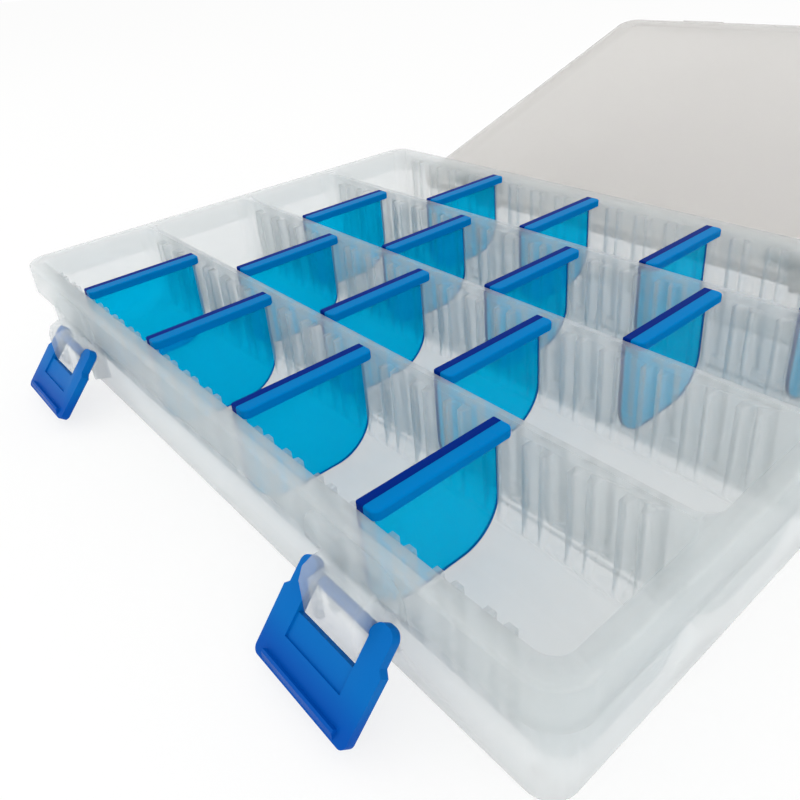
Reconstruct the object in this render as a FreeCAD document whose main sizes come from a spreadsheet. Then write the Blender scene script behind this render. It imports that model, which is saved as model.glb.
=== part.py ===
"""Bead organizer: a clear tray with four rows of rounded troughs, fifteen lift-out
dividers, a hinged clear lid that stands open behind the tray, and two blue latches.

Frame: millimetres, +Z up. The origin is the middle of the tray's underside, +X runs
along the long side and +Y from the latches to the lid's hinge. The lid and the
latches are drawn closed and then turned open about their own axes.
"""

import FreeCAD, Part
import os
import Sketcher

doc = FreeCAD.newDocument("bead_organizer")
sheet = doc.addObject("Spreadsheet::Sheet", "dims")


class Size:
    """A named size: its value now, and the formula that the document keeps."""

    def __init__(self, value, formula):
        self.value = value
        self.formula = formula

    def __add__(self, other):
        other = as_size(other)
        return Size(self.value + other.value, f"({self.formula} + {other.formula})")

    def __sub__(self, other):
        other = as_size(other)
        return Size(self.value - other.value, f"({self.formula} - {other.formula})")

    def __neg__(self):
        return Size(-self.value, f"(0 - {self.formula})")

    def __mul__(self, factor):
        return Size(self.value * factor, f"({self.formula} * {factor})")

    def __truediv__(self, factor):
        return Size(self.value / factor, f"({self.formula} / {factor})")


ZERO = Size(0.0, "0")


def as_size(value):
    return value if isinstance(value, Size) else ZERO


def dimension(alias, value):
    """Write one driving dimension into the sheet and hand it back by name."""
    row = dimension.row = getattr(dimension, "row", 0) + 1
    sheet.set(f"A{row}", alias)
    sheet.set(f"B{row}", str(value))
    sheet.setAlias(f"B{row}", alias)
    return Size(float(value), f"{sheet.Name}.{alias}")


# Tray
inner_length = dimension("inner_length", 256)
row_width = dimension("row_width", 45)
wall = dimension("wall", 1.8)
tray_height = dimension("tray_height", 38)
floor_thick = dimension("floor_thick", 1.8)
trough_radius = dimension("trough_radius", 14.5)
cell_corner = dimension("cell_corner", 5)
rim_overhang = dimension("rim_overhang", 3.7)
rim_thick = dimension("rim_thick", 1.8)
rim_corner = dimension("rim_corner", 9)
rim_edge = dimension("rim_edge", 1)
skirt_height = dimension("skirt_height", 11)
skirt_thick = dimension("skirt_thick", 1.5)
foot_edge = dimension("foot_edge", 0.8)

# Divider guides on the row walls
column_pitch = dimension("column_pitch", 53)
grid_shift = dimension("grid_shift", 5.6)
guide_thick = dimension("guide_thick", 2.9)
guide_depth = dimension("guide_depth", 3)
slot_width = dimension("slot_width", 1.5)
slot_mouth = dimension("slot_mouth", 3)

# Dividers
panel_thick = dimension("panel_thick", 1.3)
panel_end_gap = dimension("panel_end_gap", 1.4)
panel_foot_gap = dimension("panel_foot_gap", 0.3)
bar_width = dimension("bar_width", 6.6)
bar_height = dimension("bar_height", 2.8)
bar_corner = dimension("bar_corner", 2)
bar_edge = dimension("bar_edge", 0.6)
seat_gap = dimension("seat_gap", 0.1)

# Lid
lid_height = dimension("lid_height", 5)
lid_thick = dimension("lid_thick", 1.8)
lid_gap = dimension("lid_gap", 0.2)
lid_edge = dimension("lid_edge", 1.4)
catch_width = dimension("catch_width", 26)
catch_height = dimension("catch_height", 1.6)
catch_reach = dimension("catch_reach", 1.1)

# Lid hinge
hinge_offset = dimension("hinge_offset", 80)
hinge_reach = dimension("hinge_reach", 4)
knuckle_radius = dimension("knuckle_radius", 3.5)
lid_knuckle_width = dimension("lid_knuckle_width", 14)
tray_knuckle_width = dimension("tray_knuckle_width", 8)
hinge_arm_thick = dimension("hinge_arm_thick", 3)
pin_radius = dimension("pin_radius", 1.5)
running_gap = dimension("running_gap", 0.05)
side_gap = dimension("side_gap", 0.4)

# Latches and the lugs that carry them
latch_offset = dimension("latch_offset", 80)
latch_width = dimension("latch_width", 33.8)
latch_length = dimension("latch_length", 22)
latch_thick = dimension("latch_thick", 3)
latch_shoulder = dimension("latch_shoulder", 1.3)
latch_taper = dimension("latch_taper", 0.4)
shoulder_depth = dimension("shoulder_depth", 5.8)
latch_corner = dimension("latch_corner", 1.8)
arm_width = dimension("arm_width", 7)
arm_end = dimension("arm_end", 3)
arm_round = dimension("arm_round", 2.4)
window_depth = dimension("window_depth", 8.4)
latch_edge = dimension("latch_edge", 0.5)
dish_depth = dimension("dish_depth", 0.6)
dish_length = dimension("dish_length", 5.8)
hook_height = dimension("hook_height", 1.5)
pivot_drop = dimension("pivot_drop", 17.4)
pivot_reach = dimension("pivot_reach", 2.8)
rod_radius = dimension("rod_radius", 1.4)
snap_slot = dimension("snap_slot", 2.2)
lug_reach = dimension("lug_reach", 5.4)
lug_drop = dimension("lug_drop", 5.3)
lug_slope = dimension("lug_slope", 4.2)
lug_edge = dimension("lug_edge", 0.8)
lug_wall = dimension("lug_wall", 1.6)
heel_depth = dimension("heel_depth", 2.9)
heel_drop = dimension("heel_drop", 4.3)
foot_drop = dimension("foot_drop", 3)
pad_thick = dimension("pad_thick", 1)
pad_corner = dimension("pad_corner", 8)
pad_drop = dimension("pad_drop", 1.2)

# Cutting tools run this far past what they cut
overrun = dimension("overrun", 2)

# Sizes given as shares of another size
gusset_share = 0.7
brow_share = 0.3
hook_lip_share = 0.5
hook_root_share = 2

# Angles in degrees, and the number of rows and guides
lid_open_angle = 162.6
latch_open_angle = 139.0
row_count = 4
slots_per_column = 4

doc.recompute()

# Where a divider stands in each row, counted in columns from the middle of the guides
DIVIDER_COLUMNS = {
    "a": (-1.5, -0.5, 0.5, 1.5),
    "b": (-1.0, 0.0, 1.0),
    "c": (-1.5, -0.5, 0.5, 1.5),
    "d": (-1.0, 0.0, 1.0, 2.0),
}

# Places that several pieces share
row_pitch = row_width + wall
half_length = inner_length / 2
half_depth = row_width * (row_count / 2) + wall * ((row_count - 1) / 2)
wall_x = half_length + wall
wall_y = half_depth + wall
rim_x = wall_x + rim_overhang
rim_y = wall_y + rim_overhang
skirt_z = tray_height - skirt_height
bar_z = tray_height - bar_height
guide_top = bar_z - seat_gap
lid_z = tray_height + lid_gap
lid_top = lid_z + lid_height
hinge_y = rim_y + hinge_reach
hinge_z = skirt_z
pivot_y = -(rim_y + pivot_reach)
pivot_z = tray_height - pivot_drop
bore_radius = pin_radius + running_gap
window_half = latch_width / 2 - arm_width


def row_middle(index):
    return row_pitch * (index - (row_count - 1) / 2)


def bind(thing, prop, size):
    """Give a property its value now and its formula for later changes."""
    setattr(thing, prop, size.value)
    thing.setExpression(prop, size.formula)


def place(thing, x=ZERO, y=ZERO, z=ZERO):
    thing.Placement.Base = FreeCAD.Vector(x.value, y.value, z.value)
    for axis, size in (("x", x), ("y", y), ("z", z)):
        thing.setExpression(f"Placement.Base.{axis}", size.formula)


def vector(x, y, z):
    return FreeCAD.Vector(x.value, y.value, z.value)


# Sketches
def new_body(name):
    return doc.addObject("PartDesign::Body", name)


def sketch_on(body, plane_role, height=None):
    """A sketch on one of the body's own planes, lifted along its normal."""
    plane = next(item for item in body.Origin.OriginFeatures if item.Role == plane_role)
    sketch = body.newObject("Sketcher::SketchObject", f"{body.Name}_sketch")
    sketch.AttachmentSupport = [(plane, "")]
    sketch.MapMode = "FlatFace"
    if height is not None:
        sketch.AttachmentOffset.Base.z = height.value
        sketch.setExpression("AttachmentOffset.Base.z", height.formula)
    return sketch


def polygon(sketch, points):
    """A closed outline whose every corner is tied to the named sizes."""
    first = sketch.GeometryCount
    count = len(points)
    for index, (x, y) in enumerate(points):
        next_x, next_y = points[(index + 1) % count]
        start = FreeCAD.Vector(x.value, y.value, 0)
        end = FreeCAD.Vector(next_x.value, next_y.value, 0)
        sketch.addGeometry(Part.LineSegment(start, end), False)
    for index, (x, y) in enumerate(points):
        line = first + index
        following = first + (index + 1) % count
        sketch.addConstraint(Sketcher.Constraint("Coincident", line, 2, following, 1))
        for direction, size in (("DistanceX", x), ("DistanceY", y)):
            tie_point(sketch, line, direction, size)


def tie_point(sketch, line, direction, size):
    if size.formula == ZERO.formula:
        axis = -2 if direction == "DistanceX" else -1
        sketch.addConstraint(Sketcher.Constraint("PointOnObject", line, 1, axis))
        return
    limit = Sketcher.Constraint(direction, -1, 1, line, 1, size.value)
    number = sketch.addConstraint(limit)
    sketch.setExpression(f"Constraints[{number}]", size.formula)


def rectangle(sketch, left, right, bottom, top):
    polygon(sketch, [(left, bottom), (right, bottom), (right, top), (left, top)])


# Features of a body
def pad(body, sketch, length, symmetric=False):
    feature = body.newObject("PartDesign::Pad", f"{body.Name}_pad")
    feature.Profile = sketch
    bind(feature, "Length", length)
    if symmetric:
        feature.Midplane = True
    body.Tip = feature
    doc.recompute()
    return feature


def pocket(body, sketch, depth, symmetric=False, against_normal=True):
    before = body.Shape.Volume
    feature = body.newObject("PartDesign::Pocket", f"{body.Name}_pocket")
    feature.Profile = sketch
    bind(feature, "Length", depth)
    feature.Reversed = not against_normal
    if symmetric:
        feature.Midplane = True
    body.Tip = feature
    doc.recompute()
    if body.Shape.Volume > before - CLOSE:
        raise RuntimeError(f"{feature.Name} cuts nothing")
    return feature


def treat_edges(body, kind, prop, size, wanted):
    """Fillet or chamfer every edge of the body's present shape that the test picks."""
    base = body.Tip
    names = [f"Edge{n}" for n, edge in enumerate(base.Shape.Edges, 1) if wanted(edge)]
    if not names:
        raise RuntimeError(f"no edge to treat on {body.Name}")
    feature = body.newObject(f"PartDesign::{kind}", f"{body.Name}_{kind.lower()}")
    feature.Base = (base, names)
    bind(feature, prop, size)
    body.Tip = feature
    doc.recompute()


def round_edges(body, radius, wanted):
    treat_edges(body, "Fillet", "Radius", radius, wanted)


def bevel_edges(body, size, wanted):
    treat_edges(body, "Chamfer", "Size", size, wanted)


# Tests that pick edges by where they lie
CLOSE = 1e-4


def near(value, size):
    return abs(value - size.value) < CLOSE


def runs_along(edge, axis):
    """True for a straight edge along X, Y or Z (0, 1 or 2)."""
    if edge.Curve.TypeId != "Part::GeomLine":
        return False
    return abs(abs(edge.Curve.Direction[axis]) - 1) < CLOSE


def middle(edge):
    return edge.BoundBox.Center


def at_height(edge, height):
    box = edge.BoundBox
    return near(box.ZMin, height) and near(box.ZMax, height)


def lies_in_y(edge, y):
    box = edge.BoundBox
    return near(box.YMin, y) and near(box.YMax, y)


def corner_post(edge, x, y):
    """True for an upright edge at the corners (+-x, +-y)."""
    spot = middle(edge)
    return runs_along(edge, 2) and near(abs(spot.x), x) and near(abs(spot.y), y)


# Solids made of primitives
def box(name, low, high):
    """A box between two corners, each given as three sizes."""
    solid = doc.addObject("Part::Box", name)
    for prop, start, end in zip(("Length", "Width", "Height"), low, high):
        bind(solid, prop, end - start)
    place(solid, *low)
    return solid


def rod_along_x(name, radius, length, x, y, z):
    """A cylinder whose axis starts at (x, y, z) and runs along +X."""
    solid = doc.addObject("Part::Cylinder", name)
    bind(solid, "Radius", radius)
    bind(solid, "Height", length)
    turn = FreeCAD.Rotation(FreeCAD.Vector(0, 1, 0), 90)
    solid.Placement = FreeCAD.Placement(vector(x, y, z), turn)
    for axis, size in (("x", x), ("y", y), ("z", z)):
        solid.setExpression(f"Placement.Base.{axis}", size.formula)
    return solid


def fused(name, solids):
    result = doc.addObject("Part::MultiFuse", name)
    result.Shapes = solids
    result.Refine = True
    return result


def cut_away(name, base, tool):
    result = doc.addObject("Part::Cut", name)
    result.Base = base
    result.Tool = tool
    result.Refine = True
    return result


def mirrored(name, source):
    """The same solid on the other side of the tray's middle plane."""
    result = doc.addObject("Part::Mirroring", name)
    result.Source = source
    result.Normal = FreeCAD.Vector(1, 0, 0)
    return result


def make_tray_shell():
    """Outer walls, overhanging rim with its skirt, and the four rounded troughs."""
    body = new_body("tray_shell")

    walls = sketch_on(body, "XY_Plane")
    rectangle(walls, -wall_x, wall_x, -wall_y, wall_y)
    pad(body, walls, tray_height)
    rim = sketch_on(body, "XY_Plane", tray_height - rim_thick)
    rectangle(rim, -rim_x, rim_x, -rim_y, rim_y)
    pad(body, rim, rim_thick)
    skirt = sketch_on(body, "XY_Plane", skirt_z)
    rectangle(skirt, -rim_x, rim_x, -rim_y, rim_y)
    inner_x = rim_x - skirt_thick
    inner_y = rim_y - skirt_thick
    rectangle(skirt, -inner_x, inner_x, -inner_y, inner_y)
    pad(body, skirt, skirt_height - rim_thick)
    round_edges(body, rim_corner - skirt_thick, lambda e: corner_post(e, inner_x, inner_y))
    round_edges(body, rim_corner, lambda e: corner_post(e, rim_x, rim_y))

    troughs = sketch_on(body, "XY_Plane", tray_height)
    for index in range(row_count):
        low = row_middle(index) - row_width / 2
        high = row_middle(index) + row_width / 2
        rectangle(troughs, -half_length, half_length, low, high)
    pocket(body, troughs, tray_height - floor_thick)
    round_edges(body, trough_radius, is_trough_bottom)
    round_edges(body, cell_corner, is_trough_end)
    round_edges(body, cell_corner + wall, lambda e: corner_post(e, wall_x, wall_y))
    bevel_edges(body, foot_edge, lambda e: at_height(e, ZERO))
    round_edges(body, rim_edge, is_rim_top)
    return body


def is_trough_bottom(edge):
    inside = abs(middle(edge).y) < half_depth.value + CLOSE
    return inside and runs_along(edge, 0) and at_height(edge, floor_thick)


def is_trough_end(edge):
    """The upright and curved edges where a trough meets the end walls."""
    bounds = edge.BoundBox
    on_end = bounds.XLength < CLOSE and near(abs(middle(edge).x), half_length)
    below_rim = not at_height(edge, tray_height)
    return on_end and below_rim and bounds.ZMin > floor_thick.value - CLOSE


def is_rim_top(edge):
    spot = middle(edge)
    outside = abs(spot.x) > wall_x.value + CLOSE or abs(spot.y) > wall_y.value + CLOSE
    return outside and at_height(edge, tray_height)


def make_guides():
    """Pairs of upright ridges along every row wall, one pair per divider place.

    The two ridges of a pair leave a slot between them that is wider at its mouth.
    """
    spacing = column_pitch.value / slots_per_column
    reach = half_length.value - cell_corner.value - bar_width.value / 2
    first = -int((reach - grid_shift.value) / spacing)
    last = int((reach + grid_shift.value) / spacing)
    bottom = floor_thick.value + cell_corner.value
    up = FreeCAD.Vector(0, 0, guide_top.value - bottom)
    at_wall = slot_width.value / 2
    at_mouth = slot_mouth.value / 2
    outside = at_wall + guide_thick.value
    ridges = []
    for step in range(first, last + 1):
        middle_x = step * spacing - grid_shift.value
        for row in range(row_count):
            for face in (-1, 1):
                root = row_middle(row).value + face * row_width.value / 2
                tip = root - face * guide_depth.value
                for side in (-1, 1):
                    corners = [(at_wall, root), (outside, root), (outside, tip), (at_mouth, tip)]
                    places = [FreeCAD.Vector(middle_x + side * x, y, bottom) for x, y in corners]
                    outline = Part.makePolygon(places + places[:1])
                    ridges.append(Part.Face(outline).extrude(up))
    guides = doc.addObject("Part::Feature", "guides")
    guides.Shape = Part.makeCompound(ridges)
    return guides


def make_underside():
    """The hollows between the troughs' round bottoms, open below."""
    outer_radius = trough_radius + floor_thick
    slab = new_body("underside_slab")
    footprint = sketch_on(slab, "XY_Plane", -overrun)
    rectangle(footprint, -half_length, half_length, -half_depth, half_depth)
    pad(slab, footprint, outer_radius + overrun)
    round_edges(slab, cell_corner, lambda e: corner_post(e, half_length, half_depth))
    start = -half_length
    troughs = []
    for index in range(row_count):
        low = row_middle(index) - row_width / 2 + trough_radius
        high = row_middle(index) + row_width / 2 - trough_radius
        length = inner_length + overrun * 2
        for side, y in (("front", low), ("back", high)):
            name = f"trough_{side}_{index}"
            troughs.append(rod_along_x(name, outer_radius, length, start - overrun, y, outer_radius))
        troughs.append(box(f"trough_floor_{index}", (start - overrun, low, ZERO),
                           (half_length + overrun, high, outer_radius + overrun)))
    below = box("below_troughs", (start - overrun, -half_depth, -overrun * 2),
                (half_length + overrun, half_depth, ZERO))
    hollow = cut_away("underside", slab, fused("trough_forms", troughs))
    return cut_away("underside_tool", hollow, below)


def make_lug():
    """The raised pad on the skirt and the hood below it that carries one latch."""
    raised_pad = new_body("lug_pad")
    pad_face = -(rim_y + pad_thick)
    root = -(rim_y - skirt_thick / 2)
    half_pad = latch_width / 2

    pad_top = tray_height - pad_drop
    pad_outline = sketch_on(raised_pad, "XZ_Plane", -root)
    rectangle(pad_outline, -half_pad, half_pad, skirt_z, pad_top)
    pad(raised_pad, pad_outline, -pad_face + root)
    round_edges(raised_pad, pad_corner,
                lambda e: runs_along(e, 1) and near(middle(e).z, pad_top))
    bevel_edges(raised_pad, lug_edge,
                lambda e: lies_in_y(e, pad_face) and not at_height(e, skirt_z))

    hood = new_body("lug_hood")
    hood_outline = sketch_on(hood, "YZ_Plane")
    front = pivot_y - lug_reach
    chin = pivot_z - lug_drop
    lug_top = pivot_z + window_depth - side_gap
    inside_wall = -(wall_y - wall / 2)
    polygon(hood_outline, [
        (inside_wall, chin - heel_drop - foot_drop),
        (front + heel_depth, chin - heel_drop),
        (front, chin),
        (front, lug_top - lug_slope),
        (front + lug_slope * brow_share, lug_top - lug_slope * brow_share),
        (front + lug_slope, lug_top),
        (inside_wall, lug_top),
    ])
    lug_half = window_half - side_gap
    pad(hood, hood_outline, lug_half * 2, symmetric=True)
    bevel_edges(hood, lug_edge,
                lambda e: e.BoundBox.XLength < CLOSE and near(abs(middle(e).x), lug_half))

    # The hood is open below, and the latch's rod snaps up into it through two slots
    low = chin - heel_drop - foot_drop - overrun
    hollow = box("hood_hollow",
                 (-lug_half + lug_wall, front + lug_wall, low),
                 (lug_half - lug_wall, -wall_y, lug_top - lug_slope))
    slot = box("snap_slot",
               (-lug_half - overrun, pivot_y - snap_slot / 2, low),
               (lug_half + overrun, pivot_y + snap_slot / 2, pivot_z))
    bore = rod_along_x("rod_bore", rod_radius + running_gap, (lug_half + overrun) * 2,
                       -lug_half - overrun, pivot_y, pivot_z)
    return cut_away("lug_with_bore", fused("lug_solid", [raised_pad, hood]),
                    fused("lug_cuts", [hollow, slot, bore]))


def make_tray_knuckles():
    """The two tray barrels of the right-hand hinge, on gussets behind the skirt."""
    body = new_body("tray_knuckles")
    outline = sketch_on(body, "YZ_Plane")
    root = rim_y - skirt_thick / 2
    gusset_rise = knuckle_radius * gusset_share
    polygon(outline, [
        (root, skirt_z),
        (hinge_y, hinge_z - knuckle_radius),
        (hinge_y + gusset_rise, hinge_z + gusset_rise),
        (rim_y, tray_height - rim_thick),
        (root, tray_height - rim_thick),
    ])
    span = lid_knuckle_width + (side_gap + tray_knuckle_width) * 2
    pad(body, outline, span, symmetric=True)
    place(body, hinge_offset)
    barrel = rod_along_x("tray_barrel", knuckle_radius, span, hinge_offset - span / 2,
                         hinge_y, hinge_z)
    gap_half = lid_knuckle_width / 2 + side_gap
    gap = box("knuckle_gap",
              (hinge_offset - gap_half, rim_y, hinge_z - knuckle_radius - overrun),
              (hinge_offset + gap_half, hinge_y + knuckle_radius + overrun,
               tray_height + overrun))
    bore = rod_along_x("tray_bore", bore_radius, span + overrun * 2,
                       hinge_offset - span / 2 - overrun, hinge_y, hinge_z)
    solid = fused("knuckle_blank", [body, barrel])
    return cut_away("tray_knuckles_bored", solid, fused("knuckle_cuts", [gap, bore]))


def make_tray():
    lug = make_lug()
    lug_right = doc.addObject("Part::Compound", "lug_right")
    lug_right.Links = [lug]
    place(lug_right, latch_offset)
    knuckles = make_tray_knuckles()
    solids = [
        make_tray_shell(),
        make_guides(),
        lug_right,
        mirrored("lug_left", lug_right),
        knuckles,
        mirrored("tray_knuckles_left", knuckles),
    ]
    blank = fused("tray_blank", solids)
    return cut_away("tray", blank, make_underside())


def make_divider(name, column, row):
    """A U-shaped panel that hangs from the left edge of a flat bar across one row."""
    body = new_body(name)
    half_span = row_width / 2 - panel_end_gap
    bottom = floor_thick + panel_foot_gap
    panel = sketch_on(body, "YZ_Plane")
    rectangle(panel, -half_span, half_span, bottom, bar_z + bar_edge)
    pad(body, panel, panel_thick, symmetric=True)
    round_edges(body, trough_radius - panel_end_gap,
                lambda e: runs_along(e, 0) and near(middle(e).z, bottom))
    bar = sketch_on(body, "XY_Plane", bar_z)
    bar_right = bar_width - panel_thick / 2
    rectangle(bar, -panel_thick / 2, bar_right, -half_span, half_span)
    pad(body, bar, bar_height)
    round_edges(body, bar_corner, lambda e: corner_post(e, bar_right, half_span))
    bevel_edges(body, bar_edge, lambda e: at_height(e, tray_height))
    place(body, column_pitch * column - grid_shift, row_middle(row))
    return body


def make_latch(name, x):
    """A blue U-frame that turns on its rod and hooks over the lid's catch."""
    body = new_body(f"{name}_frame")
    half = latch_width / 2
    arm_half = half - latch_shoulder
    tip_half = half - latch_taper
    outline = sketch_on(body, "XZ_Plane")
    right = [
        (arm_half, -arm_end),
        (arm_half, shoulder_depth - latch_shoulder),
        (half, shoulder_depth),
        (tip_half, latch_length),
    ]
    left = [(-x_size, z_size) for x_size, z_size in reversed(right)]
    polygon(outline, right + left)
    pad(body, outline, latch_thick, symmetric=True)
    window = sketch_on(body, "XZ_Plane")
    rectangle(window, -window_half, window_half, -arm_end - overrun, window_depth)
    pocket(body, window, latch_thick + overrun * 2, symmetric=True)

    inner_face = latch_thick / 2
    hook_z = lid_z + catch_height + seat_gap - pivot_z
    dish = sketch_on(body, "XZ_Plane", -inner_face)
    rectangle(dish, -window_half, window_half, window_depth - latch_edge,
              window_depth + dish_length)
    pocket(body, dish, dish_depth, against_normal=False)

    hook_tip = pivot_reach - seat_gap
    hook = sketch_on(body, "YZ_Plane")
    polygon(hook, [
        (inner_face - latch_edge, hook_z),
        (hook_tip, hook_z),
        (hook_tip, hook_z + hook_height * hook_lip_share),
        (inner_face - latch_edge, hook_z + hook_height * hook_root_share),
    ])
    pad(body, hook, catch_width, symmetric=True)

    round_edges(body, latch_corner, lambda e: is_latch_tip(e, tip_half))
    round_edges(body, arm_round, lambda e: runs_along(e, 1) and near(middle(e).z, -arm_end))
    bevel_edges(body, latch_edge, lambda e: lies_in_y(e, -inner_face))

    rod_half = window_half + latch_edge
    rod = rod_along_x(f"{name}_rod", rod_radius, rod_half * 2, -rod_half, ZERO, ZERO)
    latch = fused(name, [body, rod])
    turn = FreeCAD.Rotation(FreeCAD.Vector(1, 0, 0), latch_open_angle)
    latch.Placement = FreeCAD.Placement(vector(x, pivot_y, pivot_z), turn)
    for axis, size in (("x", x), ("y", pivot_y), ("z", pivot_z)):
        latch.setExpression(f"Placement.Base.{axis}", size.formula)
    return latch


def is_latch_tip(edge, tip_half):
    spot = middle(edge)
    return runs_along(edge, 1) and near(abs(spot.x), tip_half) and near(spot.z, latch_length)


def make_lid_shell():
    body = new_body("lid_shell")
    outline = sketch_on(body, "XY_Plane", lid_z)
    rectangle(outline, -rim_x, rim_x, -rim_y, rim_y)
    pad(body, outline, lid_height)
    inside = sketch_on(body, "XY_Plane", lid_z)
    rectangle(inside, -rim_x + wall, rim_x - wall, -rim_y + wall, rim_y - wall)
    pocket(body, inside, lid_height - lid_thick, against_normal=False)
    round_edges(body, rim_corner - wall,
                lambda e: corner_post(e, rim_x - wall, rim_y - wall))
    round_edges(body, rim_corner, lambda e: corner_post(e, rim_x, rim_y))
    round_edges(body, lid_edge, lambda e: at_height(e, lid_top))
    return body


def make_lid_arm():
    """The right-hand hinge arm: a strap down behind the skirt to the lid's barrel."""
    body = new_body("lid_arm")
    front = hinge_y - knuckle_radius
    back = front + hinge_arm_thick
    root = rim_y - wall / 2
    strap = sketch_on(body, "YZ_Plane")
    polygon(strap, [
        (front, hinge_z),
        (back, hinge_z),
        (back, lid_top - lid_edge),
        (front, lid_top - lid_edge / 2),
        (root, lid_top - lid_edge),
        (root, lid_z + lid_gap),
        (front, lid_z + lid_gap),
    ])
    pad(body, strap, lid_knuckle_width, symmetric=True)
    place(body, hinge_offset)
    start = hinge_offset - lid_knuckle_width / 2
    barrel = rod_along_x("lid_barrel", knuckle_radius, lid_knuckle_width, start,
                         hinge_y, hinge_z)
    bore = rod_along_x("lid_bore", bore_radius, lid_knuckle_width + overrun * 2,
                       start - overrun, hinge_y, hinge_z)
    return cut_away("lid_arm_bored", fused("lid_arm_blank", [body, barrel]), bore)


def make_lid():
    arm = make_lid_arm()
    solids = [make_lid_shell(), arm, mirrored("lid_arm_left", arm)]
    for side in (-1, 1):
        centre = latch_offset * side
        low = (centre - catch_width / 2, -(rim_y + catch_reach), lid_z)
        high = (centre + catch_width / 2, -rim_y + wall / 2, lid_z + catch_height)
        solids.append(box(f"catch_{side + 1}", low, high))
    lid = fused("lid", solids)
    turn = FreeCAD.Rotation(FreeCAD.Vector(1, 0, 0), -lid_open_angle)
    axis = vector(ZERO, hinge_y, hinge_z)
    lid.Placement = FreeCAD.Placement(FreeCAD.Vector(), turn, axis)
    return lid


def make_pin(name, side):
    length = lid_knuckle_width + (side_gap + tray_knuckle_width) * 2
    return rod_along_x(name, pin_radius, length, hinge_offset * side - length / 2,
                       hinge_y, hinge_z)


def make_parts():
    parts = [make_tray(), make_lid()]
    for side, word in ((-1, "left"), (1, "right")):
        parts.append(make_latch(f"latch_{word}", latch_offset * side))
        parts.append(make_pin(f"hinge_pin_{word}", side))
    for row, (letter, columns) in enumerate(DIVIDER_COLUMNS.items()):
        for number, column in enumerate(columns, 1):
            parts.append(make_divider(f"divider_{letter}{number}", column, row))
    return parts


def check(parts):
    for thing in doc.Objects:
        if "Invalid" in thing.State or "Error" in thing.State:
            raise RuntimeError(f"{thing.Name} did not build: {thing.State}")
    for part in parts:
        if part.Shape.isNull() or not part.Shape.isValid():
            raise RuntimeError(f"{part.Label} is not a valid solid")
        if len(part.Shape.Solids) != 1:
            raise RuntimeError(f"{part.Label} has {len(part.Shape.Solids)} solids")


def write(parts):
    os.makedirs("parts", exist_ok=True)
    for part in parts:
        part.Shape.exportStep(f"parts/{part.Label}.step")


parts = make_parts()
doc.recompute()
check(parts)
write(parts)
for part in parts:
    size = part.Shape.BoundBox
    print(f"{part.Label}: {size.XLength:.1f} x {size.YLength:.1f} x {size.ZLength:.1f} mm")
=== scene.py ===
"""Looks of a bead organizer: a milky clear tray with four rows of rounded troughs, lift-out
blue dividers, a clear lid that stands open, and two blue latches.

Metres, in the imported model's frame: +X along the latch side, +Y towards the lid's hinge, +Z up.
"""

import math

import bmesh
import bpy
from mathutils import Euler, Matrix, Vector


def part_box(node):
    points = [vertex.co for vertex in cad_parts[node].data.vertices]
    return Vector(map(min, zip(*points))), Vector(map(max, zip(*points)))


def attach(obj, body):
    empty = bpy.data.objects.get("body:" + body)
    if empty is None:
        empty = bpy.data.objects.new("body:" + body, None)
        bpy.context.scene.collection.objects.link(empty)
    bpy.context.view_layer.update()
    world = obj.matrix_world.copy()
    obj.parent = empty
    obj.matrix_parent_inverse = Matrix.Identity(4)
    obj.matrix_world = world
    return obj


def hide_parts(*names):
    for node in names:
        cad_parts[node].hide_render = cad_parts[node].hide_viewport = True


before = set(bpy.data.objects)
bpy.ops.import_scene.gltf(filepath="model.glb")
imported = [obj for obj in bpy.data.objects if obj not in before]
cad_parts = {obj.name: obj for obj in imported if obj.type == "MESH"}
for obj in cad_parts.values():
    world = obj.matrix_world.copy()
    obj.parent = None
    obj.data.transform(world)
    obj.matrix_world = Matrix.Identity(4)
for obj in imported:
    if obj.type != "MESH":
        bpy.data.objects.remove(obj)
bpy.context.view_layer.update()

bl_info = {
    "name": "Bead Organizer",
    "version": (1, 0, 0),
    "blender": (4, 5, 0),
    "location": "View3D > Sidebar > Organizer",
    "description": "Builds the visible pieces of a hinged bead organizer over its packed model",
    "category": "Add Mesh",
}

MM = 0.001


def linear(hex_colour):
    """A hex colour as it is seen on a screen, turned into the linear values that shaders use."""
    values = []
    for start in (1, 3, 5):
        value = int(hex_colour[start:start + 2], 16) / 255
        values.append(value / 12.92 if value <= 0.04045 else ((value + 0.055) / 1.055) ** 2.4)
    return (*values, 1.0)


def node_size(name):
    low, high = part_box(name)
    return high - low


DIVIDERS = sorted(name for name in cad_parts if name.startswith("divider_"))
LATCHES = ("latch_left", "latch_right")
PINS = ("hinge_pin_left", "hinge_pin_right")
# Points nearer than this are one point
WELD = 0.002 * MM
# Triangles that turn less than this lie in one flat face
FLAT_ANGLE = math.radians(0.5)
# Edges sharper than this stay sharp on the tray and lid, and are rounded on the latches
SHARP_ANGLE = math.radians(32)
# Edges sharper than this are rounded on the dividers
CORNER_ANGLE = math.radians(40)
# Steps in a filleted corner, and in a rounded edge
CORNER_STEPS = 16
EDGE_STEPS = 3


def length_property(name, description, default):
    return bpy.props.FloatProperty(
        name=name, description=description, default=default, min=0.0, unit="LENGTH", precision=5)


def colour_property(name, description, hex_colour):
    return bpy.props.FloatVectorProperty(
        name=name, description=description, default=linear(hex_colour), size=4,
        min=0.0, max=1.0, subtype="COLOR")


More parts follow.
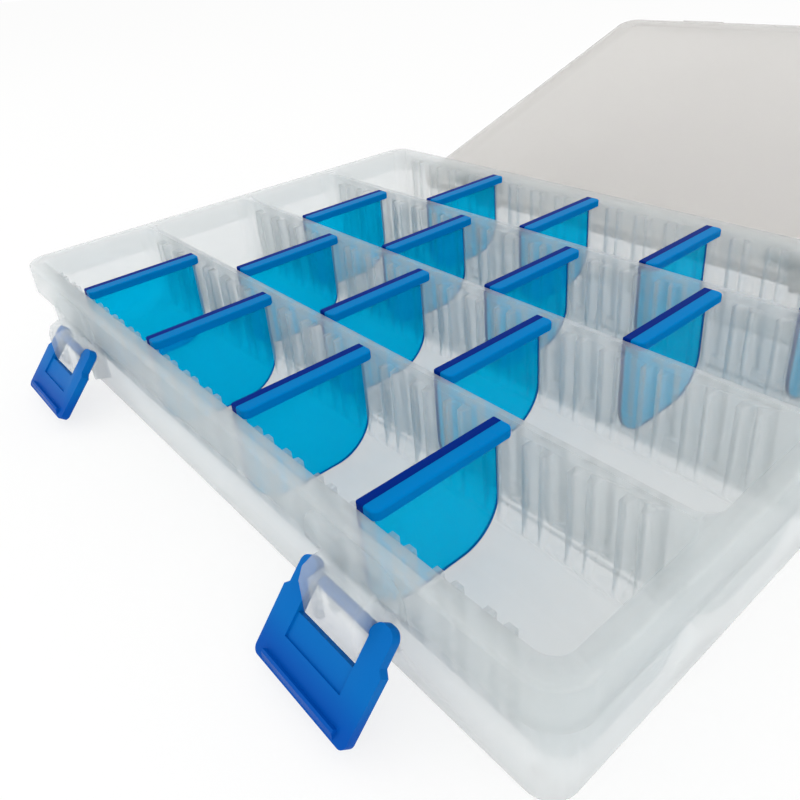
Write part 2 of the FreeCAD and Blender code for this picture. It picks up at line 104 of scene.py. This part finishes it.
class OrganizerSizes(bpy.types.PropertyGroup):
    latch_edge: length_property(
        "Latch edge", "How far the latches' edges are rounded", 0.8 * MM)
    # Painted shade on a hanging latch's lip: darker blue up to the first height, fading into the latch's
    # own blue by the second
    lip_shade_height: length_property(
        "Lip height", "Height above a hanging latch's lowest point where its lip's deep blue ends", 3 * MM)
    unshaded_height: length_property(
        "Thin height", "Height there where the lighter blue of its thin face begins", 11 * MM)
    bar_width: length_property(
        "Bar width", "Width of a divider's top bar", node_size(DIVIDERS[0]).x)
    bar_height: length_property(
        "Bar height", "Height of a divider's top bar", 2.8 * MM)
    bar_corner: length_property(
        "Bar corner", "Radius of the bar's two free corners seen from above", 2 * MM)
    bar_edge: length_property(
        "Bar edge", "How far the bar's edges are rounded", 0.5 * MM)
    # Width of the bar's strip that gets the painted-shade navy
    shade_strip_width: length_property(
        "Deep width", "Width of the bar's strip that is seen down the panel's depth", 2.8 * MM)
    panel_thick: length_property(
        "Panel thickness", "Thickness of a divider's panel", 1.3 * MM)
    panel_edge: length_property(
        "Panel edge", "How far the panel's edges are rounded", 0.15 * MM)
    foot_radius: length_property(
        "Foot radius", "Radius of the panel's two lower corners", 13.1 * MM)
    grain: length_property(
        "Moulding grain", "Size of the mould's fine texture, drawn coarser than it is", 0.9 * MM)


class OrganizerColours(bpy.types.PropertyGroup):
    tray: colour_property("Tray", "Milky clear polypropylene of the tray", "#CBD5D6")
    lid: colour_property("Lid", "Clear polypropylene of the lid", "#CBC7C2")
    panel: colour_property("Panel", "Blue plastic where it is thin, in the divider panels", "#00CCFA")
    bar: colour_property("Bar", "The same plastic in the bars, twice as thick", "#008AD4")
    # Deep is painted shade: navy on the bar's strip over the panel and on the panel's cut edges, for the
    # blue seen darker down the panel's depth
    painted_shade: colour_property("Deep", "The same plastic seen down the panel's depth", "#002C8C")
    # Latch is the latch's own blue; Lip is painted shade, a darker blue standing in for the shade on the
    # lip's tilted face
    latch: colour_property("Latch", "Solid blue plastic of the latches' thin face", "#0069B9")
    lip: colour_property("Lip", "The same plastic in the latches' thick lip", "#0050AC")
    floor: colour_property("Floor", "Pale floor", "#FAFAF9")


# Meshes

def copy_of_node(node, name):
    """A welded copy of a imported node's mesh, shaded smooth across its fillets."""
    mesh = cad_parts[node].data.copy()
    mesh.name = name
    shape = bmesh.new()
    shape.from_mesh(mesh)
    bmesh.ops.remove_doubles(shape, verts=shape.verts, dist=WELD)
    shape.to_mesh(mesh)
    shape.free()
    mesh.materials.clear()
    mesh.shade_smooth()
    mesh.set_sharp_from_angle(angle=SHARP_ANGLE)
    piece = bpy.data.objects.new(name, mesh)
    bpy.context.scene.collection.objects.link(piece)
    weighted = piece.modifiers.new("weighted_normals", "WEIGHTED_NORMAL")
    weighted.keep_sharp = True
    weighted.weight = 100
    return piece


def soften(piece, width):
    """Join the flat triangles into faces and round the edges between them."""
    shape = bmesh.new()
    shape.from_mesh(piece.data)
    bmesh.ops.dissolve_limit(shape, angle_limit=FLAT_ANGLE, verts=shape.verts,
                             edges=shape.edges)
    shape.to_mesh(piece.data)
    shape.free()
    piece.data.shade_smooth()
    piece.modifiers.clear()
    bevel = piece.modifiers.new("soft_edges", "BEVEL")
    bevel.width = width
    bevel.segments = EDGE_STEPS
    bevel.limit_method = "ANGLE"
    bevel.angle_limit = SHARP_ANGLE
    bevel.harden_normals = True


# Node trees

def add_node(tree, kind, settings=None, links=None):
    """Add one node, set its properties and sockets, and link sockets from other nodes."""
    node = tree.nodes.new(kind)
    for key, value in (settings or {}).items():
        if isinstance(key, str) and hasattr(node, key):
            setattr(node, key, value)
        else:
            node.inputs[key].default_value = value
    for key, source in (links or {}).items():
        tree.links.new(source, node.inputs[key])
    return node


def calculate(tree, operation, first, second, third=None):
    """One step of arithmetic on sockets or plain numbers."""
    given = {index: value for index, value in enumerate((first, second, third)) if value is not None}
    numbers = {index: value for index, value in given.items() if isinstance(value, (int, float))}
    sockets = {index: value for index, value in given.items() if index not in numbers}
    return add_node(tree, "ShaderNodeMath", {"operation": operation, **numbers}, sockets).outputs[0]


def new_material(name):
    material = bpy.data.materials.new(name)
    material.use_nodes = True
    material.node_tree.nodes.clear()
    return material, material.node_tree


def finish_material(tree, shader):
    add_node(tree, "ShaderNodeOutputMaterial", links={"Surface": shader})


# How strongly the mould's texture shows
GRAIN_STRENGTH = 0.35
# Sizes of the patches over which each plastic's polish drifts
MILKY_PATCH = 30 * MM
DIVIDER_PATCH = 12 * MM
LATCH_PATCH = 8 * MM
# How far light spreads inside the milky plastic
MILKY_REACH = 20 * MM


def fine_grain(tree, size, depth):
    """Bump from the mould's fine matt texture, in object space."""
    place = add_node(tree, "ShaderNodeTexCoord").outputs["Object"]
    noise = add_node(tree, "ShaderNodeTexNoise", {"Scale": 1 / size, "Detail": 2.0}, {"Vector": place})
    return add_node(tree, "ShaderNodeBump", {"Strength": GRAIN_STRENGTH, "Distance": depth},
                    {"Height": noise.outputs["Fac"]})


def cloudy(tree, size, low, high):
    """A soft value that drifts between low and high over patches of the given size."""
    place = add_node(tree, "ShaderNodeTexCoord").outputs["Object"]
    noise = add_node(tree, "ShaderNodeTexNoise", {"Scale": 1 / size, "Detail": 3.0}, {"Vector": place})
    return add_node(tree, "ShaderNodeMapRange",
                    {"From Min": 0.3, "From Max": 0.7, "To Min": low, "To Max": high},
                    {"Value": noise.outputs["Fac"]}).outputs["Result"]


def frosted_polypropylene(name, colour, rough, clear, solid, grain):
    """Natural polypropylene, injection moulded in a polished tool.

    Of the light that meets its surface, the share solid does not go straight through, and
    of that the share clear is blurred through it instead of scattered inside.
    It looks like thin skimmed milk: one wall shows clearly what stands right behind it, a few
    walls together turn pale grey, and light that enters spreads inside and softens every edge.
    """
    material, tree = new_material(name)
    bump = fine_grain(tree, grain, depth=0.03 * MM)
    patches = cloudy(tree, MILKY_PATCH, rough - 0.04, rough + 0.05)
    shader = add_node(tree, "ShaderNodeBsdfPrincipled",
                      {"Base Color": colour, "IOR": 1.3, "Transmission Weight": clear,
                       "Alpha": solid, "Subsurface Weight": 1.0,
                       "Subsurface Radius": (1.0, 1.0, 1.0), "Subsurface Scale": MILKY_REACH},
                      {"Normal": bump.outputs["Normal"], "Roughness": patches})
    finish_material(tree, shader.outputs["BSDF"])
    return material


def blue_styrene(name, colour, clear, grain):
    """Blue transparent polystyrene, moulded with polished faces.

    It looks like coloured glass: bright turquoise through a thin panel and royal blue through a
    bar. The navy on the bar's strip over the panel and the dark line along the panel's cut edges
    are painted shade, for the blue seen darker down the panel's depth.
    """
    material, tree = new_material(name)
    bump = fine_grain(tree, grain, depth=0.01 * MM)
    patches = cloudy(tree, DIVIDER_PATCH, 0.08, 0.16)
    shader = add_node(tree, "ShaderNodeBsdfPrincipled",
                      {"Base Color": colour, "IOR": 1.12, "Transmission Weight": clear,
                       "Specular IOR Level": 0.1},
                      {"Normal": bump.outputs["Normal"], "Roughness": patches})
    finish_material(tree, shader.outputs["BSDF"])
    return material


def blue_latch_plastic(lighter_blue, darker_blue, low, high, grain):
    """Solid blue polypropylene of the latches, moulded in a blasted tool.

    It has a satin face without mirror images, and it is the deepest solid blue of the object.
    Below the height low the blue is darkened as painted shade on the tilted lip, and above high it is the
    plastic's own blue.
    """
    material, tree = new_material("satin_blue_latch_polypropylene")
    bump = fine_grain(tree, grain, depth=0.02 * MM)
    patches = cloudy(tree, LATCH_PATCH, 0.34, 0.46)
    place = add_node(tree, "ShaderNodeTexCoord").outputs["Object"]
    height = add_node(tree, "ShaderNodeSeparateXYZ", links={"Vector": place}).outputs["Z"]
    above_lip_shade = add_node(tree, "ShaderNodeMapRange",
                         {"interpolation_type": "SMOOTHSTEP", "From Min": low, "From Max": high},
                         {"Value": height}).outputs["Result"]
    # Painted shade: the darker blue on the lip, mixed into the latch's own blue by height
    blue = add_node(tree, "ShaderNodeMix", {"data_type": "RGBA", 6: darker_blue, 7: lighter_blue},
                    {0: above_lip_shade}).outputs[2]
    shader = add_node(tree, "ShaderNodeBsdfPrincipled", {"IOR": 1.49, "Specular IOR Level": 0.06},
                      {"Base Color": blue, "Normal": bump.outputs["Normal"], "Roughness": patches})
    finish_material(tree, shader.outputs["BSDF"])
    return material


# Pieces

class ORGANIZER_OT_tray(bpy.types.Operator):
    """Make the moulded tray with its troughs, guides, lugs and hinge barrels"""
    bl_idname = "organizer.tray"
    bl_label = "Tray"

    def execute(self, context):
        sizes, colours = context.scene.organizer_sizes, context.scene.organizer_colours
        tray = copy_of_node("tray", "tray_moulding")
        tray.data.materials.append(frosted_polypropylene(
            "frosted_tray_polypropylene", colours.tray,
            rough=0.34, clear=0.0, solid=0.28, grain=sizes.grain))
        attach(tray, "tray")
        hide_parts("tray")
        return {"FINISHED"}


class ORGANIZER_OT_lid(bpy.types.Operator):
    """Make the clear lid with its hinge arms and catches"""
    bl_idname = "organizer.lid"
    bl_label = "Lid"

    def execute(self, context):
        sizes, colours = context.scene.organizer_sizes, context.scene.organizer_colours
        lid = copy_of_node("lid", "lid_moulding")
        lid.data.materials.append(frosted_polypropylene(
            "frosted_lid_polypropylene", colours.lid,
            rough=0.36, clear=0.3, solid=0.6, grain=sizes.grain))
        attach(lid, "lid")
        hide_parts("lid")
        return {"FINISHED"}


class ORGANIZER_OT_latches(bpy.types.Operator):
    """Make the two blue latches"""
    bl_idname = "organizer.latches"
    bl_label = "Latches"

    def execute(self, context):
        sizes, colours = context.scene.organizer_sizes, context.scene.organizer_colours
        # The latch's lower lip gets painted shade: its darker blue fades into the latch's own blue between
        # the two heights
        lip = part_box(LATCHES[0])[0].z
        blue = blue_latch_plastic(colours.latch, colours.lip, low=lip + sizes.lip_shade_height,
                                  high=lip + sizes.unshaded_height, grain=sizes.grain)
        for node in LATCHES:
            latch = copy_of_node(node, f"{node}_moulding")
            latch.data.materials.append(blue)
            soften(latch, sizes.latch_edge)
            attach(latch, node)
            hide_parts(node)
        return {"FINISHED"}


class ORGANIZER_OT_pins(bpy.types.Operator):
    """Give the two hinge pins their plastic"""
    bl_idname = "organizer.pins"
    bl_label = "Hinge pins"

    def execute(self, context):
        sizes, colours = context.scene.organizer_sizes, context.scene.organizer_colours
        plastic = frosted_polypropylene(
            "satin_pin_plastic", colours.tray,
            rough=0.35, clear=0.5, solid=1.0, grain=sizes.grain)
        for node in PINS:
            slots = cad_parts[node].data.materials
            slots.clear()
            slots.append(plastic)
        return {"FINISHED"}


def flat_face(tree, width, height, radius, axis, round_side):
    """Nodes for a flat rectangle with two of its corners filleted."""
    outline = add_node(tree, "GeometryNodeCurvePrimitiveQuadrilateral", {"mode": "RECTANGLE"},
                       {"Width": width, "Height": height})
    corner = add_node(tree, "GeometryNodeInputPosition").outputs["Position"]
    reach = add_node(tree, "ShaderNodeSeparateXYZ", links={"Vector": corner}).outputs[axis]
    on_side = calculate(tree, "GREATER_THAN", calculate(tree, "MULTIPLY", reach, round_side), 0.0)
    filleted = add_node(tree, "GeometryNodeFilletCurve", {"mode": "POLY", "Count": CORNER_STEPS},
                        {"Curve": outline.outputs["Curve"],
                         "Radius": calculate(tree, "MULTIPLY", on_side, radius)})
    return add_node(tree, "GeometryNodeFillCurve", {"mode": "NGONS"},
                    {"Curve": filleted.outputs["Curve"]}).outputs["Mesh"]


def joined(tree, meshes):
    """Nodes that join meshes and merge the points they share."""
    together = add_node(tree, "GeometryNodeJoinGeometry")
    for mesh in meshes:
        tree.links.new(mesh, together.inputs["Geometry"])
    return add_node(tree, "GeometryNodeMergeByDistance", {"Distance": WELD},
                    {"Geometry": together.outputs["Geometry"]}).outputs["Geometry"]


def pushed_up(tree, face, thickness, edge_zone=None):
    """Nodes for a closed slab: a flat face pushed up by its thickness."""
    pushed = add_node(tree, "GeometryNodeExtrudeMesh",
                      {"mode": "FACES", "Individual": False, "Offset": (0.0, 0.0, 1.0)},
                      {"Mesh": face, "Offset Scale": thickness})
    shell = pushed.outputs["Mesh"]
    if edge_zone is not None:
        shell = marked_zone(tree, shell, edge_zone, pushed.outputs["Side"])
    underside = add_node(tree, "GeometryNodeFlipFaces", links={"Mesh": face})
    return joined(tree, (shell, underside.outputs["Mesh"]))


def marked_zone(tree, geometry, zone, selection=None):
    """Store on the faces, or on the selected ones, which zone of the divider they belong to."""
    links = {"Geometry": geometry}
    if selection is not None:
        links["Selection"] = selection
    return add_node(tree, "GeometryNodeStoreNamedAttribute",
                    {"data_type": "INT", "domain": "FACE", "Name": "zone", "Value": zone},
                    links).outputs["Geometry"]


def of_plastic(tree, geometry, zone, plastic):
    """Give the faces of one zone their plastic."""
    stored = add_node(tree, "GeometryNodeInputNamedAttribute", {"data_type": "INT", "Name": "zone"})
    here = add_node(tree, "FunctionNodeCompare",
                    {"data_type": "INT", "operation": "EQUAL", 3: zone},
                    {2: stored.outputs["Attribute"]})
    return add_node(tree, "GeometryNodeSetMaterial",
                    links={"Geometry": geometry, "Selection": here.outputs["Result"],
                           "Material": plastic}).outputs["Geometry"]


def stood_at(tree, geometry, across, along, up, turn=(0.0, 0.0, 0.0)):
    """Turn a slab and move it to its place, whose parts are sockets or plain numbers."""
    parts = {"X": across, "Y": along, "Z": up}
    numbers = {key: value for key, value in parts.items() if isinstance(value, (int, float))}
    sockets = {key: value for key, value in parts.items() if key not in numbers}
    place = add_node(tree, "ShaderNodeCombineXYZ", numbers, sockets).outputs["Vector"]
    return add_node(tree, "GeometryNodeTransform", {"Rotation": Euler(turn)},
                    {"Geometry": geometry, "Translation": place}).outputs["Geometry"]


def mark_bevels(tree, geometry, bar_low, panel_share):
    """Mark the sharp edges: the bar's with the whole bevel, the panel's with their share of it."""
    angle = add_node(tree, "GeometryNodeInputMeshEdgeAngle").outputs["Unsigned Angle"]
    sharp = calculate(tree, "GREATER_THAN", angle, CORNER_ANGLE)
    spot = add_node(tree, "GeometryNodeInputPosition").outputs["Position"]
    height = add_node(tree, "ShaderNodeSeparateXYZ", links={"Vector": spot}).outputs["Z"]
    in_bar = calculate(tree, "GREATER_THAN", height, bar_low)
    share = add_node(tree, "ShaderNodeMix", {"data_type": "FLOAT", "B": 1.0},
                     {"Factor": in_bar, "A": panel_share}).outputs["Result"]
    weight = calculate(tree, "MULTIPLY", sharp, share)
    return add_node(tree, "GeometryNodeStoreNamedAttribute",
                    {"data_type": "FLOAT", "domain": "EDGE", "Name": "bevel_weight_edge"},
                    {"Geometry": geometry, "Value": weight}).outputs["Geometry"]


# Which plastic a divider's face has; the third is painted shade, navy on the bar's strip over the panel
# and on the panel's cut edges
PANEL_ZONE, BAR_ZONE, PAINTED_SHADE_ZONE = 1, 2, 3

# How much of the bar's height the panel's top is buried in it
BURIED_SHARE = 0.2
# How far the panel stands inside the bar's left face, so that no two faces share a plane
PANEL_INSET = 0.02 * MM
# How far below the bar its own edges are still looked for
BAR_MARGIN = 0.1 * MM


def divider_tree():
    """Geometry nodes for one divider: a thin U-shaped panel under the left edge of a flat bar."""
    tree = bpy.data.node_groups.new("divider", "GeometryNodeTree")
    tree.interface.new_socket("Geometry", in_out="OUTPUT", socket_type="NodeSocketGeometry")
    for name in ("Left", "Middle", "Span", "Bar Width", "Bar Height", "Bar Corner", "Shade Strip Width",
                 "Panel Thickness", "Panel Foot", "Foot Radius", "Rim Height", "Panel Share"):
        tree.interface.new_socket(name, in_out="INPUT", socket_type="NodeSocketFloat")
    for name in ("Panel Plastic", "Bar Plastic", "Painted Shade Plastic"):
        tree.interface.new_socket(name, in_out="INPUT", socket_type="NodeSocketMaterial")
    given = add_node(tree, "NodeGroupInput").outputs

    bar_low = calculate(tree, "SUBTRACT", given["Rim Height"], given["Bar Height"])
    panel_top = calculate(tree, "MULTIPLY_ADD", given["Bar Height"], BURIED_SHARE, bar_low)
    drop = calculate(tree, "SUBTRACT", panel_top, given["Panel Foot"])
    panel = flat_face(tree, given["Span"], drop, given["Foot Radius"], "Y", -1.0)
    panel = marked_zone(tree, panel, PANEL_ZONE)
    # The panel's cut edges get the painted-shade navy
    panel = pushed_up(tree, panel, given["Panel Thickness"], PAINTED_SHADE_ZONE)
    panel_middle = calculate(tree, "MULTIPLY_ADD", drop, 0.5, given["Panel Foot"])
    panel_left = calculate(tree, "ADD", given["Left"], PANEL_INSET)
    panel = stood_at(tree, panel, panel_left, given["Middle"], panel_middle,
                     (math.pi / 2, 0.0, math.pi / 2))

    # The bar's strip over the panel, painted navy as painted shade
    painted_shade = flat_face(tree, given["Shade Strip Width"], given["Span"], 0.0, "X", 1.0)
    shade_strip_middle = calculate(tree, "MULTIPLY_ADD", given["Shade Strip Width"], 0.5, given["Left"])
    painted_shade = stood_at(tree, marked_zone(tree, painted_shade, PAINTED_SHADE_ZONE), shade_strip_middle, given["Middle"], bar_low)
    free_width = calculate(tree, "SUBTRACT", given["Bar Width"], given["Shade Strip Width"])
    free_left = calculate(tree, "ADD", given["Left"], given["Shade Strip Width"])
    free_middle = calculate(tree, "MULTIPLY_ADD", free_width, 0.5, free_left)
    free = flat_face(tree, free_width, given["Span"], given["Bar Corner"], "X", 1.0)
    free = stood_at(tree, marked_zone(tree, free, BAR_ZONE), free_middle, given["Middle"], bar_low)
    bar = pushed_up(tree, joined(tree, (painted_shade, free)), given["Bar Height"])
    both = add_node(tree, "GeometryNodeJoinGeometry", links={"Geometry": panel})
    tree.links.new(bar, both.inputs["Geometry"])
    just_below_bar = calculate(tree, "SUBTRACT", bar_low, BAR_MARGIN)
    marked = mark_bevels(tree, both.outputs["Geometry"], just_below_bar, given["Panel Share"])
    smooth = add_node(tree, "GeometryNodeSetShadeSmooth", {"Shade Smooth": True}, {"Geometry": marked})
    made = add_node(tree, "GeometryNodeRealizeInstances",
                    links={0: smooth.outputs["Geometry"]}).outputs["Geometry"]
    made = of_plastic(tree, made, PANEL_ZONE, given["Panel Plastic"])
    made = of_plastic(tree, made, BAR_ZONE, given["Bar Plastic"])
    made = of_plastic(tree, made, PAINTED_SHADE_ZONE, given["Painted Shade Plastic"])
    add_node(tree, "NodeGroupOutput", links={"Geometry": made})
    return tree


def made_by_nodes(tree, name, values):
    """Run a geometry tree with the named values and keep what it makes as a plain mesh."""
    maker = bpy.data.objects.new(f"{name}_maker", bpy.data.meshes.new(f"{name}_maker"))
    bpy.context.scene.collection.objects.link(maker)
    modifier = maker.modifiers.new("maker", "NODES")
    modifier.node_group = tree
    for item in tree.interface.items_tree:
        if item.in_out == "INPUT":
            modifier[item.identifier] = values[item.name]
    graph = bpy.context.evaluated_depsgraph_get()
    mesh = bpy.data.meshes.new_from_object(maker.evaluated_get(graph), depsgraph=graph)
    mesh.name = name
    piece = bpy.data.objects.new(name, mesh)
    bpy.context.scene.collection.objects.link(piece)
    bpy.data.objects.remove(maker)
    return piece


class ORGANIZER_OT_dividers(bpy.types.Operator):
    """Make the lift-out dividers, one for each body"""
    bl_idname = "organizer.dividers"
    bl_label = "Dividers"

    def execute(self, context):
        sizes, colours = context.scene.organizer_sizes, context.scene.organizer_colours
        lighter_blue = blue_styrene("thin_blue_panel_styrene", colours.panel, clear=0.8, grain=sizes.grain)
        darker_blue = blue_styrene("thick_blue_bar_styrene", colours.bar, clear=0.3, grain=sizes.grain)
        # Painted shade: the navy for the bar's strip over the panel and for the panel's cut edges
        painted_shade = blue_styrene("painted_shade_blue_bar_styrene", colours.painted_shade, clear=0.3, grain=sizes.grain)
        tree = divider_tree()
        for node in DIVIDERS:
            low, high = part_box(node)
            piece = made_by_nodes(tree, f"{node}_moulding", {
                "Left": low.x,
                "Middle": (low.y + high.y) / 2,
                "Span": high.y - low.y,
                "Bar Width": sizes.bar_width,
                "Bar Height": sizes.bar_height,
                "Bar Corner": sizes.bar_corner,
                "Shade Strip Width": sizes.shade_strip_width,
                "Panel Thickness": sizes.panel_thick,
                "Panel Foot": low.z,
                "Foot Radius": sizes.foot_radius,
                "Rim Height": high.z,
                "Panel Share": sizes.panel_edge / sizes.bar_edge,
                "Panel Plastic": lighter_blue,
                "Bar Plastic": darker_blue,
                "Painted Shade Plastic": painted_shade,
            })
            bevel = piece.modifiers.new("soft_edges", "BEVEL")
            bevel.width = sizes.bar_edge
            bevel.segments = EDGE_STEPS
            bevel.limit_method = "WEIGHT"
            bevel.harden_normals = True
            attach(piece, node)
            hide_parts(node)
        return {"FINISHED"}


# Stage

CAMERA_PLACE = Vector((178.2, -157.5, 143.5)) * MM
CAMERA_AZIMUTH = math.radians(51.909)
CAMERA_ELEVATION = math.radians(28.225)
CAMERA_ROLL = math.radians(-5.035)
CAMERA_LENS = 34.09
CAMERA_SHIFT_Y = -0.0875


def camera_axes():
    """The camera's right, up and back directions from its azimuth, elevation and roll."""
    flat = math.cos(CAMERA_ELEVATION)
    back = Vector((math.sin(CAMERA_AZIMUTH) * flat, -math.cos(CAMERA_AZIMUTH) * flat,
                   math.sin(CAMERA_ELEVATION)))
    right = Vector((math.cos(CAMERA_AZIMUTH), math.sin(CAMERA_AZIMUTH), 0.0))
    up = back.cross(right)
    rolled_right = math.cos(CAMERA_ROLL) * right + math.sin(CAMERA_ROLL) * up
    rolled_up = math.cos(CAMERA_ROLL) * up - math.sin(CAMERA_ROLL) * right
    return rolled_right, rolled_up, back


class ORGANIZER_OT_stage(bpy.types.Operator):
    """Make the floor, the lamps, the sky and the camera"""
    bl_idname = "organizer.stage"
    bl_label = "Stage"

    def execute(self, context):
        scene = context.scene
        make_floor(scene)
        make_sky(scene)
        for lamp in LAMPS:
            make_lamp(scene, *lamp)
        make_camera(scene)
        scene.view_settings.view_transform = "Standard"
        return {"FINISHED"}


def white_to_eye(tree):
    """1 for rays from the camera, or through glass and off gloss, and 0 for light on the object."""
    path = add_node(tree, "ShaderNodeLightPath").outputs
    seen = calculate(tree, "MAXIMUM", path["Is Camera Ray"], path["Is Glossy Ray"])
    return calculate(tree, "MAXIMUM", seen, path["Is Transmission Ray"])


WHITE = (1.0, 1.0, 1.0, 1.0)
# Half the floor's side
FLOOR_REACH = 3.0
# A hair below the tray's flat underside, so that the two do not flicker into each other
FLOOR_LEVEL = -0.3 * MM
# How much of the floor's look is plain white; the rest keeps the object's shadow
FLOOR_WHITE = 0.75
# Strength of the sky's soft light on the object
SKY_LIGHT = 0.93


def make_floor(scene):
    mesh = bpy.data.meshes.new("floor")
    corners = [(x * FLOOR_REACH, y * FLOOR_REACH, FLOOR_LEVEL)
               for x, y in ((-1, -1), (1, -1), (1, 1), (-1, 1))]
    mesh.from_pydata(corners, [], [(0, 1, 2, 3)])
    floor = bpy.data.objects.new("floor", mesh)
    scene.collection.objects.link(floor)
    material, tree = new_material("pale_matt_floor")
    matt = add_node(tree, "ShaderNodeBsdfDiffuse", {"Color": scene.organizer_colours.floor})
    glow = add_node(tree, "ShaderNodeEmission", {"Color": WHITE, "Strength": 1.0})
    share = calculate(tree, "MULTIPLY", white_to_eye(tree), FLOOR_WHITE)
    mixed = add_node(tree, "ShaderNodeMixShader",
                     links={0: share, 1: matt.outputs[0], 2: glow.outputs[0]})
    finish_material(tree, mixed.outputs[0])
    mesh.materials.append(material)


def make_sky(scene):
    world = bpy.data.worlds.new("studio")
    world.use_nodes = True
    tree = world.node_tree
    tree.nodes.clear()
    soft = add_node(tree, "ShaderNodeBackground", {"Color": WHITE, "Strength": SKY_LIGHT})
    white = add_node(tree, "ShaderNodeBackground", {"Color": WHITE, "Strength": 1.0})
    mixed = add_node(tree, "ShaderNodeMixShader",
                     links={0: white_to_eye(tree), 1: soft.outputs[0], 2: white.outputs[0]})
    add_node(tree, "ShaderNodeOutputWorld", links={"Surface": mixed.outputs[0]})
    scene.world = world


# Name, place, what it points at, side of the square panel in metres, power in watts
LAMPS = (
    ("key_lamp", (0.9, -0.35, 0.75), (0.0, 0.0, 0.02), 0.7, 2.6),
    ("fill_lamp", (-0.7, -0.7, 0.8), (0.0, 0.0, 0.02), 0.8, 1.4),
)


def make_lamp(scene, name, place, target, side, power):
    data = bpy.data.lights.new(name, "AREA")
    data.shape = "SQUARE"
    data.size = side
    data.energy = power
    lamp = bpy.data.objects.new(name, data)
    lamp.location = place
    lamp.rotation_euler = (Vector(target) - Vector(place)).to_track_quat("-Z", "Y").to_euler()
    scene.collection.objects.link(lamp)


def make_camera(scene):
    data = bpy.data.cameras.new("photo_camera")
    data.lens = CAMERA_LENS
    data.sensor_width = 36.0
    data.shift_y = CAMERA_SHIFT_Y
    data.clip_start = 0.01
    camera = bpy.data.objects.new("photo_camera", data)
    right, up, back = camera_axes()
    turn = Matrix((right, up, back)).transposed()
    camera.matrix_world = Matrix.Translation(CAMERA_PLACE) @ turn.to_4x4()
    scene.collection.objects.link(camera)
    scene.camera = camera


# Add-on

class ORGANIZER_PT_panel(bpy.types.Panel):
    bl_idname = "ORGANIZER_PT_panel"
    bl_label = "Bead Organizer"
    bl_space_type = "VIEW_3D"
    bl_region_type = "UI"
    bl_category = "Organizer"

    def draw(self, context):
        for group in (context.scene.organizer_sizes, context.scene.organizer_colours):
            box = self.layout.box()
            for name in group.__annotations__:
                box.prop(group, name)
        for operator in OPERATORS:
            self.layout.operator(operator.bl_idname)


OPERATORS = (
    ORGANIZER_OT_tray,
    ORGANIZER_OT_lid,
    ORGANIZER_OT_latches,
    ORGANIZER_OT_pins,
    ORGANIZER_OT_dividers,
    ORGANIZER_OT_stage,
)
CLASSES = (OrganizerSizes, OrganizerColours, *OPERATORS, ORGANIZER_PT_panel)


def register():
    for item in CLASSES:
        bpy.utils.register_class(item)
    bpy.types.Scene.organizer_sizes = bpy.props.PointerProperty(type=OrganizerSizes)
    bpy.types.Scene.organizer_colours = bpy.props.PointerProperty(type=OrganizerColours)


def unregister():
    del bpy.types.Scene.organizer_colours
    del bpy.types.Scene.organizer_sizes
    for item in reversed(CLASSES):
        bpy.utils.unregister_class(item)


def main():
    register()
    bpy.ops.organizer.stage()
    bpy.ops.organizer.tray()
    bpy.ops.organizer.lid()
    bpy.ops.organizer.latches()
    bpy.ops.organizer.pins()
    bpy.ops.organizer.dividers()


if __name__ == "__main__":
    main()
